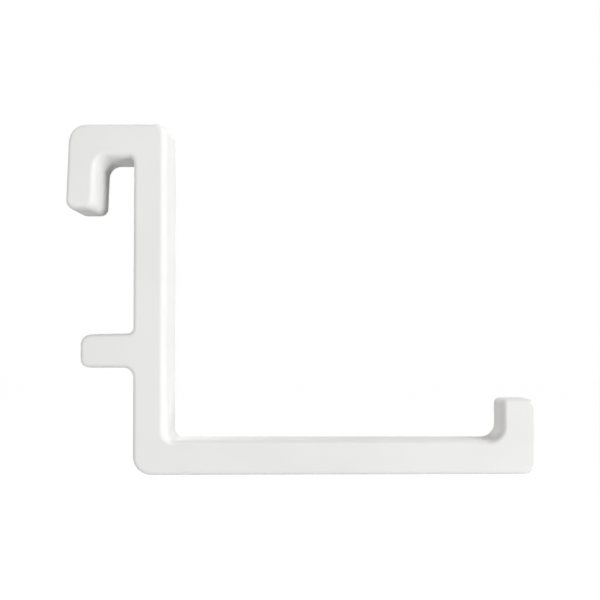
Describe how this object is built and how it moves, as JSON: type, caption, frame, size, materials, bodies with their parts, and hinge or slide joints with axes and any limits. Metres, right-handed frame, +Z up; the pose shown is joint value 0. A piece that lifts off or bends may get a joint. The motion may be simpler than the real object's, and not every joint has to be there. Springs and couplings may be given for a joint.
{
  "type": "pegboard hook",
  "caption": "Moulded L-shaped pegboard hook: a finger and a peg for the board's slots, a stem, and a long arm with an upturned lug.",
  "frame": {"origin": "on the flat rear face of the stem, at mid width, half-way between the seat under the bar and the top of the peg", "axes": "+X out from the board along the arm, +Y across the hook's width, +Z up"},
  "size_m": [0.0799, 0.0048, 0.0596],
  "materials": {
    "white_plastic": "satin"
  },
  "bodies": {
    "root": {"hook": "white_plastic"}
  },
  "joints": []
}
